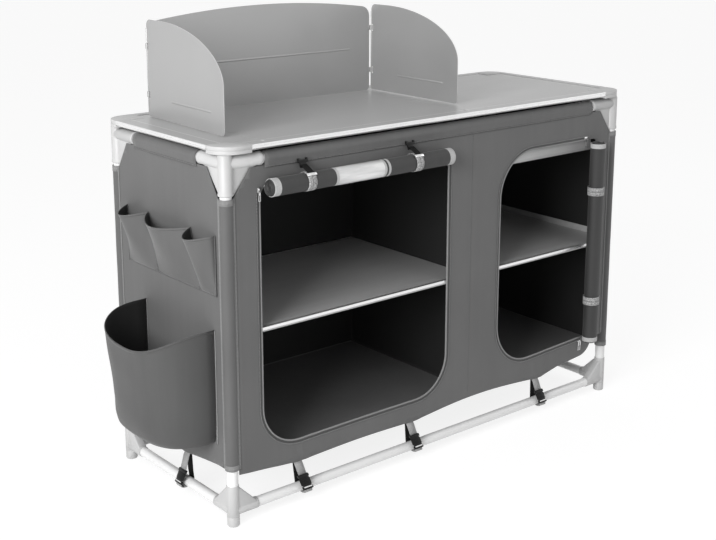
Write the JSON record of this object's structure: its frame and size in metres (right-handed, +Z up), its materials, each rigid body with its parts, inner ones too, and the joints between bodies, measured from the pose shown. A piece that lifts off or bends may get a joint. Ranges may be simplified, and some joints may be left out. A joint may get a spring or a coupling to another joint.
{
  "type": "camp kitchen unit",
  "caption": "Portable camp kitchen: tube frame with a hanging fabric cupboard, shelves, rolled-up doors, side pockets, lift-off worktop and folding windscreen.",
  "frame": {"origin": "under the middle of the whole outline, pockets and rolled doors included, at the level of the soles", "axes": "+Z up, +X along the front to the right as seen from the front, front facing -Y"},
  "size_m": [1.337, 0.495, 1.027],
  "materials": {
    "white_tube": "pale silver lacquer",
    "grey_plastic": "light grey moulded",
    "grey_cloth": "dark grey coated polyester, fine weave",
    "black_lining": "black coated inside of the cloth",
    "grey_board": "grey laminated board",
    "worktop_board": "light grey laminated board",
    "bright_edge": "satin aluminium edge",
    "screen_metal": "grey satin coated sheet metal",
    "pale_elastic": "light grey elastic",
    "strap_webbing": "light grey webbing with a black buckle",
    "zip_metal": "bright cast metal"
  },
  "bodies": {
    "frame": {"back_panel": "grey_cloth", "divider_panel": "black_lining", "door_band_left_1": "pale_elastic", "door_band_left_2": "pale_elastic", "door_band_right_lower": "pale_elastic", "door_band_right_upper": "pale_elastic", "door_roll_left": "grey_cloth", "door_roll_right": "grey_cloth", "floor_board": "black_lining", "foot_connector_back_left": "grey_plastic", "foot_connector_back_right": "grey_plastic", "foot_connector_front_left": "grey_plastic", "foot_connector_front_right": "grey_plastic", "front_panel": "grey_cloth", "left_panel": "grey_cloth", "leg_back_left": "white_tube", "leg_back_right": "white_tube", "leg_front_left": "white_tube", "leg_front_right": "white_tube", "lower_pocket": "grey_cloth", "rail_bottom_back": "white_tube", "rail_bottom_front": "white_tube", "rail_bottom_left": "white_tube", "rail_bottom_right": "white_tube", "rail_top_back": "white_tube", "rail_top_front": "white_tube", "rail_top_left": "white_tube", "rail_top_right": "white_tube", "right_panel": "grey_cloth", "shelf_left": "grey_board", "shelf_right": "grey_board", "tension_strap_back_1": "strap_webbing", "tension_strap_back_2": "strap_webbing", "tension_strap_front_1": "strap_webbing", "tension_strap_front_2": "strap_webbing", "tension_strap_front_3": "strap_webbing", "tension_strap_left": "strap_webbing", "tension_strap_right": "strap_webbing", "top_connector_back_left": "grey_plastic", "top_connector_back_right": "grey_plastic", "top_connector_front_left": "grey_plastic", "top_connector_front_right": "grey_plastic", "utensil_pockets": "grey_cloth"},
    "worktop": {"worktop_corner_back_left": "grey_plastic", "worktop_corner_back_right": "grey_plastic", "worktop_corner_front_left": "grey_plastic", "worktop_corner_front_right": "grey_plastic", "worktop_edge_back": "bright_edge", "worktop_edge_front": "bright_edge", "worktop_edge_left": "bright_edge", "worktop_edge_right": "bright_edge", "worktop_panel_centre": "worktop_board", "worktop_panel_left": "worktop_board", "worktop_panel_right": "worktop_board"},
    "windscreen": {"windscreen_back": "screen_metal"},
    "wing_left": {"windscreen_wing_left": "screen_metal"},
    "wing_right": {"windscreen_wing_right": "screen_metal"},
    "slider_left": {"zip_slider_left": "zip_metal"},
    "slider_right_top": {"zip_slider_right_top": "zip_metal"},
    "slider_right_bottom": {"zip_slider_right_bottom": "zip_metal"}
  },
  "joints": [
    {"name": "worktop_lift", "type": "slide", "parent": "frame", "child": "worktop", "axis": [0, 0, 1], "range_m": [0, 0.25]},
    {"name": "windscreen_lift", "type": "slide", "parent": "worktop", "child": "windscreen", "axis": [0, 0, 1], "range_m": [0, 0.25]},
    {"name": "wing_left_fold", "type": "hinge", "parent": "windscreen", "child": "wing_left", "pos_m": [-0.44948, 0.19553, 0.799], "axis": [0, 0, 1], "range_deg": [-88, 92]},
    {"name": "wing_right_fold", "type": "hinge", "parent": "windscreen", "child": "wing_right", "pos_m": [0.18652, 0.19553, 0.799], "axis": [0, 0, -1], "range_deg": [-88, 89.5]},
    {"name": "zip_left_slide", "type": "slide", "parent": "frame", "child": "slider_left", "axis": [0, 0, -1], "range_m": [0, 0.4]},
    {"name": "zip_right_top_slide", "type": "slide", "parent": "frame", "child": "slider_right_top", "axis": [-1, 0, 0], "range_m": [0, 0.19]},
    {"name": "zip_right_bottom_slide", "type": "slide", "parent": "frame", "child": "slider_right_bottom", "axis": [-0.9993, 0, -0.0374], "range_m": [0, 0.19]}
  ]
}
